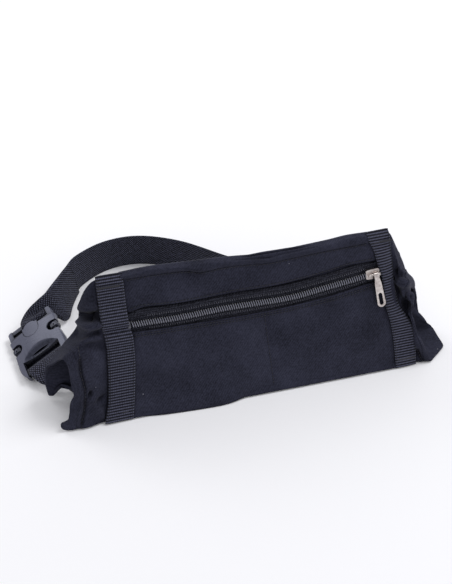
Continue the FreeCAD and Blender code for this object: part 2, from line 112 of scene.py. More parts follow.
def back_y(z):
    """Outer face of the back wall at a height."""
    return BASE_DEPTH + BACK_SLOPE * z


# ---- Small mathematics ----

def hermite(a, b, slope_a, slope_b, t):
    """Smooth step from a to b with given end slopes."""
    return (a * (2 * t**3 - 3 * t**2 + 1) + slope_a * (t**3 - 2 * t**2 + t)
            + b * (3 * t**2 - 2 * t**3) + slope_b * (t**3 - t**2))


def through(points):
    """A smooth function through a few (place, value) pairs; values are numbers or vectors."""
    def value(x):
        if x <= points[0][0]:
            return points[0][1]
        if x >= points[-1][0]:
            return points[-1][1]
        k = next(i for i in range(len(points) - 1) if x <= points[i + 1][0])
        before, (x0, y0), (x1, y1), after = (points[max(k - 1, 0)], points[k], points[k + 1],
                                             points[min(k + 2, len(points) - 1)])
        span = x1 - x0
        slope_0 = (y1 - before[1]) * (span / (x1 - before[0]))
        slope_1 = (after[1] - y0) * (span / (after[0] - x0))
        return hermite(y0, y1, slope_0, slope_1, (x - x0) / span)
    return value


def hump(x, middle, width):
    """A smooth hump of height 1."""
    return math.exp(-((x - middle) / width) ** 2)


def ease(x):
    """0 to 1, flat at both ends."""
    x = min(max(x, 0.0), 1.0)
    return x * x * (3 - 2 * x)


def ripple(a, b, seed):
    """Smooth seeded noise from about -1 to 1."""
    return noise.noise(Vector((a, b, seed * 7.3)))


def mix(a, b, t):
    return a + (b - a) * t


def steps(first, last, count):
    """count + 1 evenly spaced values."""
    return [first + (last - first) * i / count for i in range(count + 1)]


# ---- Mesh building ----

def make_piece(name, points, faces, material, body="pack", nodes=(), finish=None, uvs=None):
    """A mesh piece from points in the pack's axes, riding on a body and standing for CAD nodes."""
    mesh = bpy.data.meshes.new(name)
    mesh.from_pydata([ORIGIN + p * MM for p in points], [], faces)
    mesh.polygons.foreach_set("use_smooth", [True] * len(mesh.polygons))
    if uvs:
        layer = mesh.uv_layers.new(name="cloth")
        for loop in mesh.loops:
            a, b = uvs[loop.vertex_index]
            layer.data[loop.index].uv = (a * MM, b * MM)
    mesh.materials.append(material)
    piece = bpy.data.objects.new(name, mesh)
    bpy.context.scene.collection.objects.link(piece)
    if body:
        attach(piece, body)
    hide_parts(*nodes)
    return piece


def grid_faces(rows, columns, closed=False):
    """Quads of a grid of points stored row by row; closed joins the last column to the first."""
    faces = []
    for i in range(rows - 1):
        for j in range(columns if closed else columns - 1):
            k = (j + 1) % columns
            faces.append((i * columns + j, i * columns + k, (i + 1) * columns + k, (i + 1) * columns + j))
    return faces


def tube_faces(rings, sides):
    """Faces of a tube of rings stored one after another, with a face over each end."""
    first_end = tuple(range(sides))
    last_end = tuple(reversed(range((rings - 1) * sides, rings * sides)))
    return grid_faces(rings, sides, closed=True) + [first_end, last_end]


def ring_of_points(centre, one, two, radius, sides):
    """Points of a circle in the plane of two directions."""
    turns = [2 * math.pi * k / sides for k in range(sides)]
    return [centre + (one * math.cos(turn) + two * math.sin(turn)) * radius for turn in turns]


def thick_grid(name, rows, uvs, material, thickness, **facts):
    """A piece from a grid of points on its outer face, thickened inwards."""
    points = [p for row in rows for p in row]
    flat = [p for row in uvs for p in row]
    piece = make_piece(name, points, grid_faces(len(rows), len(rows[0])), material, uvs=flat, **facts)
    solid = piece.modifiers.new("thickness", "SOLIDIFY")
    solid.thickness = thickness * MM
    solid.offset = -1
    return piece


def cloth_sheet(*grid, **facts):
    """A piece of cloth: a thick grid, smoothed."""
    piece = thick_grid(*grid, **facts)
    smooth = piece.modifiers.new("rounding", "SUBSURF")
    smooth.levels = 1
    smooth.render_levels = 1
    return piece


def band(name, stations, half, thick, material, **facts):
    """Flat webbing through stations of (middle, travel, across), with rounded selvedges."""
    section = [(-1, 0.35), (-0.97, 1), (-0.5, 1), (0, 1), (0.5, 1), (0.97, 1), (1, 0.35)]
    ring = section + [(a, -b) for a, b in reversed(section)]
    points, uvs, length = [], [], 0.0
    for i, (middle, travel, across) in enumerate(stations):
        if i:
            length += (middle - stations[i - 1][0]).length
        normal = across.cross(travel).normalized()
        for a, b in ring:
            points.append(middle + across * (a * half) + normal * (b * thick / 2))
            uvs.append((length, a * half))
    return make_piece(name, points, tube_faces(len(stations), len(ring)), material, uvs=uvs, **facts)


def even_walk(path, pitch):
    """Points and headings every pitch along a path of vectors."""
    found, carried = [], 0.0
    for a, b in zip(path, path[1:]):
        run = (b - a).length
        while carried <= run:
            found.append((a.lerp(b, carried / run), (b - a).normalized()))
            carried += pitch
        carried -= run
    return found


def stitch_row(path, up, pitch=3.0, length=2.3, radius=0.32, sideways=False):
    """Points and faces of a row of sewn stitches along a path, each a small bowed thread."""
    points, faces = [], []
    sides = 6
    profile = [(-0.5, -0.35, 0.55), (-0.32, 0.25, 1.0), (0.0, 0.5, 1.0), (0.32, 0.25, 1.0),
               (0.5, -0.35, 0.55)]
    for middle, heading in even_walk(path, pitch):
        across = heading.cross(up).normalized()
        if sideways:
            heading, across = across, heading
        first = len(points)
        for place, lift, size in profile:
            centre = middle + heading * (place * length) + up * (lift * radius * 2)
            points += ring_of_points(centre, across, up, radius * size, sides)
        faces += [tuple(first + i for i in f) for f in tube_faces(len(profile), sides)]
    return points, faces


def stitching(name, rows, material, **facts):
    """One piece made of several stitch rows."""
    points, faces = [], []
    for row_points, row_faces in rows:
        faces += [tuple(len(points) + i for i in f) for f in row_faces]
        points += row_points
    return make_piece(name, points, faces, material, finish="thread_black", **facts)


# ---- Materials ----

BAND_PITCH = 0.31416         # metres between the bands of a wave texture of scale 1


class Nodes:
    """A short hand for building one material's nodes."""

    def __init__(self, name):
        self.material = bpy.data.materials.new(name)
        self.material.use_nodes = True
        self.tree = self.material.node_tree
        self.shader = self.tree.nodes["Principled BSDF"]

    def add(self, kind, inputs=None, **settings):
        node = self.tree.nodes.new(kind)
        for key, value in settings.items():
            setattr(node, key, value)
        for key, value in (inputs or {}).items():
            if isinstance(value, bpy.types.NodeSocket):
                self.tree.links.new(value, node.inputs[key])
            else:
                node.inputs[key].default_value = value
        return node

    def place(self, source="Object", scale=(1, 1, 1), turn=0.0):
        """Texture coordinates in metres, scaled and turned."""
        where = self.add("ShaderNodeTexCoord")
        return self.add("ShaderNodeMapping", {"Vector": where.outputs[source], "Scale": scale,
                                              "Rotation": (0, 0, turn)}).outputs[0]

    def grain(self, where, scale, detail=3.0, rough=0.6):
        return self.add("ShaderNodeTexNoise", {"Vector": where, "Scale": scale, "Detail": detail,
                                               "Roughness": rough}).outputs["Fac"]

    def waves(self, where, pitch, axis="X", wobble=0.0):
        """Parallel threads a pitch (in metres) apart."""
        return self.add("ShaderNodeTexWave", {"Vector": where, "Scale": BAND_PITCH / pitch,
                                              "Distortion": wobble, "Detail": 1.0, "Detail Scale": 2.0},
                        bands_direction=axis).outputs["Fac"]

    def math(self, operation, a, b=0.0):
        return self.add("ShaderNodeMath", {0: a, 1: b}, operation=operation).outputs[0]

    def remap(self, value, low, high, to_low, to_high):
        return self.add("ShaderNodeMapRange", {"Value": value, "From Min": low, "From Max": high,
                                               "To Min": to_low, "To Max": to_high}).outputs[0]

    def colour_mix(self, share, a, b):
        node = self.add("ShaderNodeMix", {"Factor": share}, data_type="RGBA")
        for key, value in (("A", a), ("B", b)):
            socket = next(s for s in node.inputs if s.name == key and s.type == "RGBA")
            if isinstance(value, bpy.types.NodeSocket):
                self.tree.links.new(value, socket)
            else:
                socket.default_value = (*value, 1)
        return next(s for s in node.outputs if s.type == "RGBA")

    def with_painted_shade(self, colour, deep, low, high):
        """Painted shade: the colour, turning to a darker one in folds and recesses, where the surface is
        closed in.
        """
        open_side = self.add("ShaderNodeAmbientOcclusion", {"Distance": 0.012}, samples=6).outputs["AO"]
        return self.colour_mix(self.remap(open_side, low, high, 0.0, 1.0), deep, colour)

    def finish(self, colour, rough, height=None, depth=0.0003, strength=0.6, **settings):
        """Connects colour, roughness and bump, and sets uniform values on the shader."""
        self.tree.links.new(colour, self.shader.inputs["Base Color"])
        self.tree.links.new(rough, self.shader.inputs["Roughness"])
        if height is not None:
            bump = self.add("ShaderNodeBump", {"Height": height, "Distance": depth, "Strength": strength})
            self.tree.links.new(bump.outputs[0], self.shader.inputs["Normal"])
        for key, value in settings.items():
            self.shader.inputs[key.replace("_", " ")].default_value = value
        return self.material


def cotton():
    """Matte black cotton twill: diagonal ribs, mottled dye, rubbed patches, lint, and painted shade in deep
    folds and recesses.
    """
    n = Nodes("cotton_twill")
    flat = n.place("UV")
    solid = n.place("Object")
    twill = n.waves(n.place("UV", turn=math.radians(38)), 0.0021, wobble=1.6)
    yarn = n.grain(flat, 2200, 2.0)
    mottle = n.grain(solid, 520, 3.0, 0.75)
    rubbed = n.grain(solid, 26, 3.0, 0.55)
    tone = n.math("ADD", n.math("MULTIPLY", twill, 0.09), n.math("MULTIPLY", mottle, 0.62))
    tone = n.math("ADD", tone, n.math("MULTIPLY", rubbed, 0.45))
    share = n.remap(tone, 0.36, 0.84, 0.0, 1.0)
    cloth = n.colour_mix(share, (0.0062, 0.0066, 0.0120), (0.045, 0.0470, 0.076))
    cells = n.add("ShaderNodeTexVoronoi", {"Vector": solid, "Scale": 75.0, "Randomness": 1.0})
    speck = n.math("LESS_THAN", cells.outputs["Distance"], 0.045)
    tint = n.add("ShaderNodeSeparateColor", {"Color": cells.outputs["Color"]}).outputs[0]
    lint = n.math("MULTIPLY", speck, n.math("GREATER_THAN", tint, 0.7))
    colour = n.colour_mix(n.math("MULTIPLY", lint, 0.5), cloth, (0.30, 0.30, 0.35))
    # painted shade: the cloth turns near black in folds, creases and the mouths' insides, where the surface
    # is closed in
    colour = n.with_painted_shade(colour, (0.003, 0.003, 0.006), 0.3, 0.85)
    height = n.math("ADD", n.math("MULTIPLY", twill, 0.18), n.math("MULTIPLY", yarn, 0.7))
    rough = n.remap(mottle, 0.3, 0.7, 0.85, 0.98)
    return n.finish(colour, rough, height, 0.0003, 0.8, Sheen_Weight=0.04, Sheen_Roughness=0.5,
                    Specular_IOR_Level=0.1)


def belt_weave():
    """Heavy webbing: two sets of diagonal yarns that cross, with a painted highlight on their crowns."""
    n = Nodes("belt_weave")
    one = n.waves(n.place("UV", turn=math.radians(34)), 0.0017, wobble=1.5)
    two = n.waves(n.place("UV", turn=math.radians(-50)), 0.0020, wobble=1.5)
    crossing = n.math("MULTIPLY", one, two)
    mottle = n.grain(n.place("Object"), 420, 3.0)
    share = n.remap(n.math("ADD", crossing, n.math("MULTIPLY", mottle, 0.8)), 0.42, 1.0, 0.0, 1.0)
    # painted highlight: lighter where the crossing yarns stand highest
    colour = n.colour_mix(share, (0.002, 0.002, 0.005), (0.105, 0.110, 0.165))
    rough = n.remap(mottle, 0.3, 0.7, 0.6, 0.8)
    return n.finish(colour, rough, crossing, 0.0008, 1.0, Sheen_Weight=0.05, Sheen_Roughness=0.4,
                    Specular_IOR_Level=0.15)


def ribbed_web():
    """The two narrow strips: fine yarn along each rib, with a painted highlight on the ribs' crowns and
    painted shade in the grooves between them.
    """
    n = Nodes("ribbed_web")
    flat = n.place("UV")
    rib = n.math("POWER", n.waves(flat, RIB * MM, axis="Y"), 1.8)
    yarn = n.waves(flat, 0.0016, axis="X", wobble=1.2)
    mottle = n.grain(n.place("Object"), 420, 3.0)
    tone = n.math("ADD", n.math("MULTIPLY", rib, n.remap(yarn, 0, 1, 0.35, 1.0)),
                  n.math("MULTIPLY", mottle, 0.45))
    # painted highlight and painted shade: lighter on the ribs' crowns, darker in the grooves between them
    colour = n.colour_mix(n.remap(tone, 0.22, 1.0, 0.0, 1.0), (0.003, 0.003, 0.006), (0.098, 0.102, 0.155))
    height = n.math("ADD", n.math("MULTIPLY", yarn, 0.5), mottle)
    return n.finish(colour, n.remap(mottle, 0.3, 0.7, 0.6, 0.8), height, 0.0003, 0.6, Sheen_Weight=0.04,
                    Specular_IOR_Level=0.15)


def zip_weave():
    """The zipper's tape: a tight fine herringbone."""
    n = Nodes("zip_weave")
    chevron = n.math("MULTIPLY", n.waves(n.place("UV", turn=math.radians(60)), 0.0014),
                     n.waves(n.place("UV"), 0.0021, axis="Y"))
    mottle = n.grain(n.place("Object"), 600, 3.0)
    tone = n.math("ADD", n.math("MULTIPLY", chevron, 0.4), mottle)
    colour = n.colour_mix(n.remap(tone, 0.4, 1.0, 0.0, 1.0), (0.004, 0.004, 0.007), (0.050, 0.052, 0.072))
    return n.finish(colour, n.remap(mottle, 0.3, 0.7, 0.75, 0.95), chevron, 0.0003, 0.6,
                    Specular_IOR_Level=0.12)


def nylon_coil():
    """Smooth black nylon wire, with a painted highlight: pale along its crowns, where the wire stands
    furthest out from the front.
    """
    n = Nodes("nylon_coil")
    where = n.place("Object")
    mottle = n.grain(where, 900, 3.0)
    height = n.add("ShaderNodeVectorMath", {0: where, 1: OUT}, operation="DOT_PRODUCT").outputs["Value"]
    face = ORIGIN.dot(OUT)              # height of the front's own plane
    # painted highlight: the wire turns pale where it stands furthest out from the front's plane
    painted_highlight = n.remap(height, face + 0.0009, face + 0.0017, 0.0, 1.0)
    crown = n.colour_mix(mottle, (0.12, 0.124, 0.165), (0.21, 0.214, 0.27))
    colour = n.colour_mix(painted_highlight, (0.006, 0.006, 0.010), crown)
    return n.finish(colour, n.remap(mottle, 0.3, 0.7, 0.16, 0.26), mottle, 0.00002, 0.2,
                    Specular_IOR_Level=0.8)


def thread(name, dark, light):
    """Twisted sewing thread."""
    n = Nodes(name)
    twist = n.waves(n.place("Object", turn=0.6), 0.0004)
    colour = n.colour_mix(twist, dark, light)
    return n.finish(colour, n.remap(twist, 0, 1, 0.5, 0.7), twist, 0.0001, 0.5)


def nickel():
    """Nickel-plated zinc with fine scratches and duller rubbed places."""
    n = Nodes("nickel_plate")
    scratch = n.grain(n.place("Object", scale=(1, 5, 1)), 700, 4.0, 0.7)
    cloud = n.grain(n.place("Object"), 260, 3.0)
    colour = n.colour_mix(n.remap(cloud, 0.35, 0.65, 0.0, 1.0), (0.42, 0.37, 0.355), (0.72, 0.67, 0.64))
    rough = n.math("ADD", n.remap(scratch, 0.3, 0.7, 0.0, 0.12), n.remap(cloud, 0.3, 0.7, 0.22, 0.34))
    return n.finish(colour, rough, scratch, 0.00008, 0.35, Metallic=1.0)


def moulded():
    """Charcoal acetal: fine moulded texture, soft sheen, light scuffs, a painted highlight along sharp
    edges and painted shade in recesses.
    """
    n = Nodes("moulded_plastic")
    skin = n.grain(n.place("Object"), 2400, 3.0)
    scuff = n.grain(n.place("Object", scale=(1, 3, 1)), 300, 5.0, 0.75)
    cloud = n.grain(n.place("Object"), 60, 2.0)
    plain = n.colour_mix(n.remap(scuff, 0.5, 0.75, 0.0, 1.0), (0.012, 0.013, 0.024), (0.026, 0.028, 0.048))
    # painted highlight: sharp convex edges turned lighter
    edge = n.add("ShaderNodeNewGeometry").outputs["Pointiness"]
    colour = n.colour_mix(n.remap(edge, 0.51, 0.58, 0.0, 0.6), plain, (0.13, 0.135, 0.19))
    # painted shade: darker in recesses, where the surface is closed in
    colour = n.with_painted_shade(colour, (0.002, 0.002, 0.004), 0.4, 0.95)
    rough = n.math("ADD", n.remap(cloud, 0.3, 0.7, 0.22, 0.30), n.remap(scuff, 0.4, 0.7, 0.0, 0.12))
    return n.finish(colour, rough, skin, 0.00006, 0.3, Specular_IOR_Level=0.42,
                    Specular_Tint=(0.80, 0.84, 1.0, 1.0))


RIB = 2.7                    # spacing of the strips' ribs
FABRIC = cotton()
WEBBING = belt_weave()
RIBBED = ribbed_web()
ZIP_CLOTH = zip_weave()
COIL = nylon_coil()
THREAD = thread("sewing_thread", (0.004, 0.004, 0.007), (0.018, 0.018, 0.028))
PALE_THREAD = thread("chain_thread", (0.03, 0.03, 0.042), (0.16, 0.16, 0.20))
NICKEL = nickel()
PLASTIC = moulded()


# ---- Shape of the front ----

zip_sag = through([(-130, 0.0), (-106, -0.8), (-69, -3.0), (-31, -3.3), (0, -5.0), (33, -6.6), (61, -4.8),
                   (92, -2.4), (112, -0.8), (130, -0.6)])
foot_bulge = through([(-152, 0.6), (-123, 0.8), (-95, 4.0), (-60, 5.4), (-36, 5.2), (-15, 1.6), (5, 0.6),
                      (150, 0.6)])
foot_height = through([(-152, 0.9), (-123, 0.4), (-77, -1.6), (-36, -1.6), (-14, 1.0), (3, 1.8), (31, 4.4),
                       (56, 3.6), (100, 1.4), (131, 0.8), (152, 0.9)])
lower_lip = through([(-122, 84.4), (-89, 83.2), (-20, 81.8), (19, 82.0), (40, 83.0), (60, 84.3), (80, 86.2),
                     (116, 91.5)])
upper_lip = through([(-118, 103.5), (-104, 106.2), (-82, 104.7), (-58, 104.3), (-21, 105.3), (21, 105.0),
                     (48, 106.6), (72, 109.3), (93, 112.6), (116, 112.8)])
strip_left_inner = through([(0, -123.5), (30, -118.5), (56, -115.2), (80, -114.3), (97, -116.4),
                            (141, -116.0)])
strip_left_outer = through([(0, -150.0), (24, -143.9), (60, -139.8), (78, -139.0), (97, -140.8),
                            (141, -140.0)])
strip_right_inner = through([(0, 131.7), (27, 130.2), (50, 127.4), (66, 123.7), (82, 122.3), (97, 120.5),
                             (110, 117.0), (123, 114.0), (134, 109.2), (141, 108.0)])
strip_right_outer = through([(0, 153.0), (26, 152.8), (46, 148.6), (62, 140.0), (78, 137.0), (96, 135.0),
                             (123, 132.2), (141, 130.0)])
top_line = through([(-119, 130.4), (-93, 131.8), (-77, 131.2), (-54, 129.9), (-31, 128.6), (-17, 127.4),
                    (2, 125.3), (16, 124.1), (26, 125.1), (37, 125.7), (75, 128.1), (91, 129.8),
                    (112, 129.4)])
band_seam = through([(-119, 134.4), (-87, 134.2), (-61, 132.9), (-47, 129.6), (-28, 130.5), (-9, 129.7),
                     (14, 127.6), (35, 128.4), (73, 130.1), (112, 131.0)])


def zip_line(u):
    """Height of the zipper's middle along the front."""
    return ZIP_MIDDLE + ZIP_RISE * u + zip_sag(u)


def divider(v):
    """The seam that parts the pocket in two behind its front."""
    return 11.5 - 0.05 * v


def relief(u, v):
    """How far the front's outer face stands off its plane."""
    calm = 1 - 0.85 * hump(v, zip_line(u), 20)
    soft = 1.5 * ripple(u / 62, v / 48, 1) + 0.5 * ripple(u / 23, v / 30, 2)
    billow = 1.6 * hump(v, 42, 30) * (1 - hump(u, 10, 16)) * math.cos(math.pi * u / 330) ** 2
    seam = -0.9 * hump(u, divider(v), 2.6) * ease((82 - v) / 10) * ease(v / 12)
    foot = foot_bulge(u) * math.exp(-(max(v, -3) / 15) ** 2)
    drag = 0.9 * hump((u - 118) + 0.8 * (v - 40), 0, 9) * hump(v, 45, 30)
    return (soft + billow + drag) * calm + seam + foot


def on_front_face(u, v, lift=0.0):
    return front(u, v, relief(u, v) + lift)


def front_sheet(name, left, right, low, high, across, upwards, cut, area, **facts):
    """A sheet on the front between two side lines and two height lines."""
    rows, uvs = [], []
    for t in steps(0, 1, upwards):
        row, uv = [], []
        for s in steps(0, 1, across):
            rough_u = mix(left(0), right(0), s)
            v = mix(low(rough_u), high(rough_u), t)
            u = mix(left(v), right(v), s)
            row.append(on_front_face(u, v))
            uv.append((u, v))
        rows.append(row)
        uvs.append(uv)
    piece = cloth_sheet(name, rows, uvs, FABRIC, CLOTH, finish="fabric_black", **facts)


def pocket_left(v):
    return strip_left_inner(v) - 16


def pocket_right(v):
    return strip_right_inner(v) + 12


def pocket_cloth():
    """The two panels of the pocket's front, above and below the zipper."""
    front_sheet("pocket_lower_cloth", pocket_left, pocket_right, foot_height, lower_lip, 120, 36,
                LOWER_CUT, LOWER_AREA, nodes=["pocket_lower"])
    front_sheet("pocket_upper_cloth", pocket_left, pocket_right, upper_lip, lambda u: 136.5, 120, 16,
                UPPER_CUT, UPPER_AREA, nodes=["pocket_upper"])


def top_band():
    """The folded band that closes the top between the strips, rolled over from front to back."""
    rows, uvs = [], []
    for u in steps(-119, 112, 130):
        top_z = top_line(u)
        crown_v = top_z / COS + 0.4
        low = band_seam(u)
        full = 1.0 + 0.35 * ripple(u / 26, 3, 6) + 0.7 * hump(u, -50, 12) - 0.4 * hump(u, 14, 16)
        spine = [front(u, low, relief(u, low) - 0.5), front(u, low + 1.2, relief(u, low) + 0.9 * full),
                 front(u, low + 4.0, 1.9 * full), front(u, crown_v - 1.6, 1.3), at(u, 50.6, top_z - 0.2),
                 at(u, 54.0, top_z), at(u, back_y(124) + 1.0, top_z - 4.4),
                 at(u, back_y(118) + 0.4, top_z - 10)]
        line = through([(k, p) for k, p in enumerate(spine)])
        rows.append([line(k) for k in steps(len(spine) - 1, 0, 22)])
        uvs.append([(u, 4 * k) for k in steps(len(spine) - 1, 0, 22)])
    piece = cloth_sheet("top_band", rows, uvs, FABRIC, CLOTH, nodes=["top_hem"], finish="fabric_black")


# ---- Sleeve ----
# One cloth tube: its loops run up the front, over the ridge, down the back wall and forward
# under the base. Each list below follows one line of the tube from the left mouth's rim to the
# right mouth's rim: 0 and 3 are the rims, 1 and 2 the outer edges of the two strips.

SLEEVE_LINES = [
    # foot of the front
    through([(0, at(-184, 1, 1.4)), (0.5, at(-168, -2.6, 1.4)), (1, at(-147, 0.5, 1.4)),
             (1.2, at(-130, -1.5, 1.4)), (1.9, at(132, -1.5, 1.4)), (2, at(149, 1.0, 1.4)),
             (2.5, at(159, 0, 1.4)), (3, at(169, 0.5, 1.5))]),
    through([(0, front(-181, 16, 1)), (0.5, front(-163, 22, 3.0)), (1, front(-145, 22, -1.0)),
             (1.2, front(-128, 22, -4)), (1.9, front(132, 22, -4)), (2, front(151, 22, -1)),
             (2.5, front(156, 18, 2.0)), (3, front(160, 17, 1))]),
    through([(0, front(-174.5, 36, 1.5)), (0.5, front(-158, 42, 4.5)), (1, front(-141.5, 45, -1.0)),
             (1.2, front(-126, 45, -4)), (1.9, front(128, 45, -4)), (2, front(146.5, 46, -2)),
             (2.5, front(150, 40, 2)), (3, front(153, 36, 2))]),
    through([(0, front(-174.8, 54, 2)), (0.4, front(-162, 62, 5.0)), (0.7, front(-150, 72, 3.0)),
             (1, front(-138, 80, -1)), (1.2, front(-122, 80, -4)), (1.9, front(120, 80, -4)),
             (2, front(136, 80, -6)), (2.4, front(143, 66, 0)), (3, front(149.3, 56, 4))]),
    through([(0, front(-176, 68.5, 2)), (0.35, front(-166, 80, 4)), (0.65, front(-154, 91, 2.5)),
             (0.8, front(-148, 102, 1.5)), (1, front(-138.5, 113, -1)), (1.2, front(-120, 115, -3)),
             (1.9, front(112, 115, -3)), (2, front(132, 115, -2)), (2.4, front(139, 97, 2.0)),
             (2.7, front(144, 86, 4)), (3, front(148.5, 75, 4))]),
    # the ridge
    through([(0, at(-192, 42, 43)), (0.2, at(-183, 45.5, 54.5)), (0.42, at(-172, 48, 67)),
             (0.6, at(-161, 50, 78.5)), (0.67, at(-158, 51, 84)), (0.8, at(-156.5, 51.5, 102)),
             (0.9, at(-150.5, 52.5, 117)), (1, at(-140.5, 53.0, 126.5)),
             (1.2, at(-118, 53, 126.5)), (1.9, at(112, 53, 126.5)), (2, at(129.5, 53, 126.5)),
             (2.2, at(138, 52.5, 112)), (2.5, at(149, 51, 88)), (2.75, at(156.5, 50, 68)),
             (2.86, at(163.5, 48, 58)), (3, at(164.5, 47.5, 49))]),
    # the back wall
    through([(0, at(-196, 46.0, 20)), (0.4, at(-176, 51, 46)), (1, at(-142, 54, 88)),
             (1.2, at(-120, 53.5, 88)), (2, at(132, 53.5, 88)), (2.5, at(150, 51.5, 60)),
             (3, at(171, 47, 24))]),
    through([(0, at(-195, 44, 4)), (0.4, at(-176, 48, 22)), (1, at(-147, 48.5, 44)),
             (1.2, at(-125, 48.3, 44)), (2, at(142, 48.3, 44)), (2.5, at(158, 47, 30)),
             (3, at(180.5, 44.5, 9))]),
    # the rear edge of the base, and the middle of the base
    through([(0, at(-182, 43, 14)), (0.25, at(-176, 43, 8)), (0.5, at(-168, 43, 3)),
             (1, at(-148, 43, 1.6)), (2, at(149, 43, 1.6)), (2.5, at(165, 42.5, 1.6)),
             (3, at(186.5, 41.5, 1.6))]),
    through([(0, at(-170, 24, 4.5)), (0.5, at(-161, 22, 1.8)), (1, at(-147, 22, 1.4)),
             (2, at(149, 22, 1.4)), (2.5, at(163, 19, 1.4)), (3, at(187, 17, 1.5))]),
]
SLEEVE_LINES.append(SLEEVE_LINES[0])

# The two mouths' rims in full, by place round the tube: 0 is the front's foot and 5 the ridge.
LEFT_RIM = through([
    (0, front(-183, 0.6, 1.0)), (0.3, front(-188.4, 3.6, 1.5)), (0.5, front(-189.4, 7.4, 1.5)),
    (0.7, front(-187.6, 10.0, 1.5)), (0.9, front(-183, 11.2, 1.5)), (1.3, front(-180.6, 17, 1.5)),
    (1.75, front(-178.2, 27.6, 2.0)), (1.95, front(-176, 32.0, 2.5)), (2.12, front(-173.9, 34.6, 2.0)),
    (2.7, front(-174.5, 44.5, 2.0)), (3.3, front(-174.7, 55.5, 2.0)), (3.8, front(-175.2, 65.0, 1.5)),
    (4.05, at(-177.8, 25.5, 65.3)), (4.35, at(-181.2, 31, 59.6)), (4.6, at(-185.2, 36, 52.6)),
    (4.8, at(-188.8, 40, 46.4)), (5, at(-192.6, 43.5, 41)), (5.4, at(-195.8, 45.5, 30.5)),
    (6, at(-196.8, 46, 17)), (6.6, at(-196.0, 45, 7)), (7, at(-194.6, 43.5, 3.4)),
    (7.3, at(-191.4, 42, 4.6)), (7.7, at(-186.8, 43, 12)), (8.1, at(-181.6, 43.5, 15.5)),
    (8.5, at(-171, 38, 11)), (9, at(-169, 25, 5)), (9.6, at(-176, 9, 2.0)),
    (10, front(-183, 0.6, 1.0))])
RIGHT_RIM = through([
    (0, front(168.8, 1.0, 1.2)), (0.5, front(164.6, 8.5, 1.0)), (1, front(159.6, 18.5, 1.2)),
    (2, front(153.6, 34.5, 2.0)), (2.8, front(150.2, 48, 3.0)), (3.4, front(149.0, 60, 3.5)),
    (3.8, front(148.2, 68, 3.0)), (4.1, front(148.6, 75, 1.0)), (4.4, at(153, 36, 66)),
    (4.75, at(161.5, 45, 55.5)), (5, at(163.2, 47, 49)), (5.4, at(168.5, 47.5, 37)),
    (5.8, at(171.2, 47.5, 24)), (6, at(172.3, 47, 20)), (7, at(180.8, 45, 8)),
    (8, at(187.0, 42, 1.6)), (8.6, at(187.6, 28, 1.5)), (8.95, at(188.0, 17, 1.5)),
    (9.05, at(187.2, 14, 1.5)), (9.4, at(181, 8.6, 1.4)), (10, front(168.8, 1.0, 1.2))])


def rim_pull(t, s):
    """How far the cloth near a mouth is moved so that it ends on the mouth's full rim."""
    if t < 1:
        return (LEFT_RIM(s) - LEFT_END(s)) * ease(1 - t / 0.34)
    return (RIGHT_RIM(s) - RIGHT_END(s)) * ease((t - 2.6) / 0.4)


def round_tube(t):
    """The loop round the tube at one mark along it."""
    return through([(k, line(t)) for k, line in enumerate(SLEEVE_LINES)])


LEFT_END = round_tube(0)
RIGHT_END = round_tube(3)


def left_folds(p, v):
    """Folds of the left wing: a deep dimple under the strip's middle, a lid under it, small creases."""
    out = ease((-139 - p.x) / 4)
    dimple = -15.0 * math.exp(-((p.x + 147.5) / 6.0) ** 2 - ((v - 105.5 - 0.1 * (p.x + 147)) / 3.2) ** 2)
    valley = -5.0 * hump(v, 104.8 + 0.12 * (p.x + 150), 3.0) * out
    brow = 3.4 * hump(v, 111.5 + 0.1 * (p.x + 150), 4.5) * out
    lid = 6.0 * hump(v, 98.5 - 0.02 * (p.x + 149) ** 2, 4.2) * out
    under = -5.0 * hump(v, 91.0 - 0.012 * (p.x + 149) ** 2, 2.6) * out
    trough = -5.5 * hump(v, 79 - 0.16 * (p.x + 150), 4.2) * hump(p.x, -152, 15)
    hem_line = -2.3 * hump(p.x, LEFT_SEAM(v), 1.8) * ease((74 - v) / 6)
    hem_roll = 1.2 * hump(p.x, LEFT_SEAM(v) - 4.5, 3.4) * ease((74 - v) / 8)
    sag = 3.8 * hump(p.x + 0.35 * (v - 18), -155.5, 4.5) * hump(v, 20, 15)
    tuck = -5.5 * hump(p.x, -159.5, 2.6) * hump(v, 33.5 + 0.8 * (p.x + 159.5), 3.2)
    crease = -3.2 * hump(v, 26 + 0.35 * (p.x + 150), 2.0) * hump(p.x, -151, 7)
    diagonal = 1.8 * math.cos((p.x * 0.6 + v * 0.8) / 5.2) * hump(v, 52, 16) * hump(p.x, -152, 9)
    return (dimple + valley + brow + lid + under + trough + hem_line + hem_roll + sag + tuck + crease
            + diagonal)


def right_folds(p, v):
    """Folds of the right wing: a heavy brow, an eye-shaped pleat beside the strip, a long drape."""
    out = ease((p.x - 134) / 3)
    near = ease((147 - p.x) / 6)
    brow = 5.5 * hump(v, 88.0 - 0.40 * (p.x - 140), 4.2) * out * (0.4 + 0.6 * near)
    over = -5.0 * hump(v, 96.5 - 0.40 * (p.x - 138), 3.2) * out * near
    eye = -12.0 * math.exp(-((p.x - 144.6 + 0.05 * (v - 67)) / 2.6) ** 2 - ((v - 67) / 9.0) ** 2)
    lash = 3.4 * hump(p.x, 140.8 + 0.004 * (v - 67) ** 2, 1.6) * hump(v, 67, 9)
    hem_line = -2.0 * hump(p.x, RIGHT_SEAM(v), 1.6) * ease((52 - v) / 6)
    drape = 3.6 * hump(p.x + 0.5 * (v - 20), 157, 3.4) * hump(v, 22, 16)
    return brow + over + eye + lash + hem_line + drape


LEFT_SEAM = through([(-4, -172.5), (8, -169.9), (16, -167.2), (27, -164.6), (41, -163.4), (57, -164.8),
                     (73, -163.5)])
RIGHT_SEAM = through([(0, 160.5), (18, 152.5), (34, 147.0), (50, 143.5)])


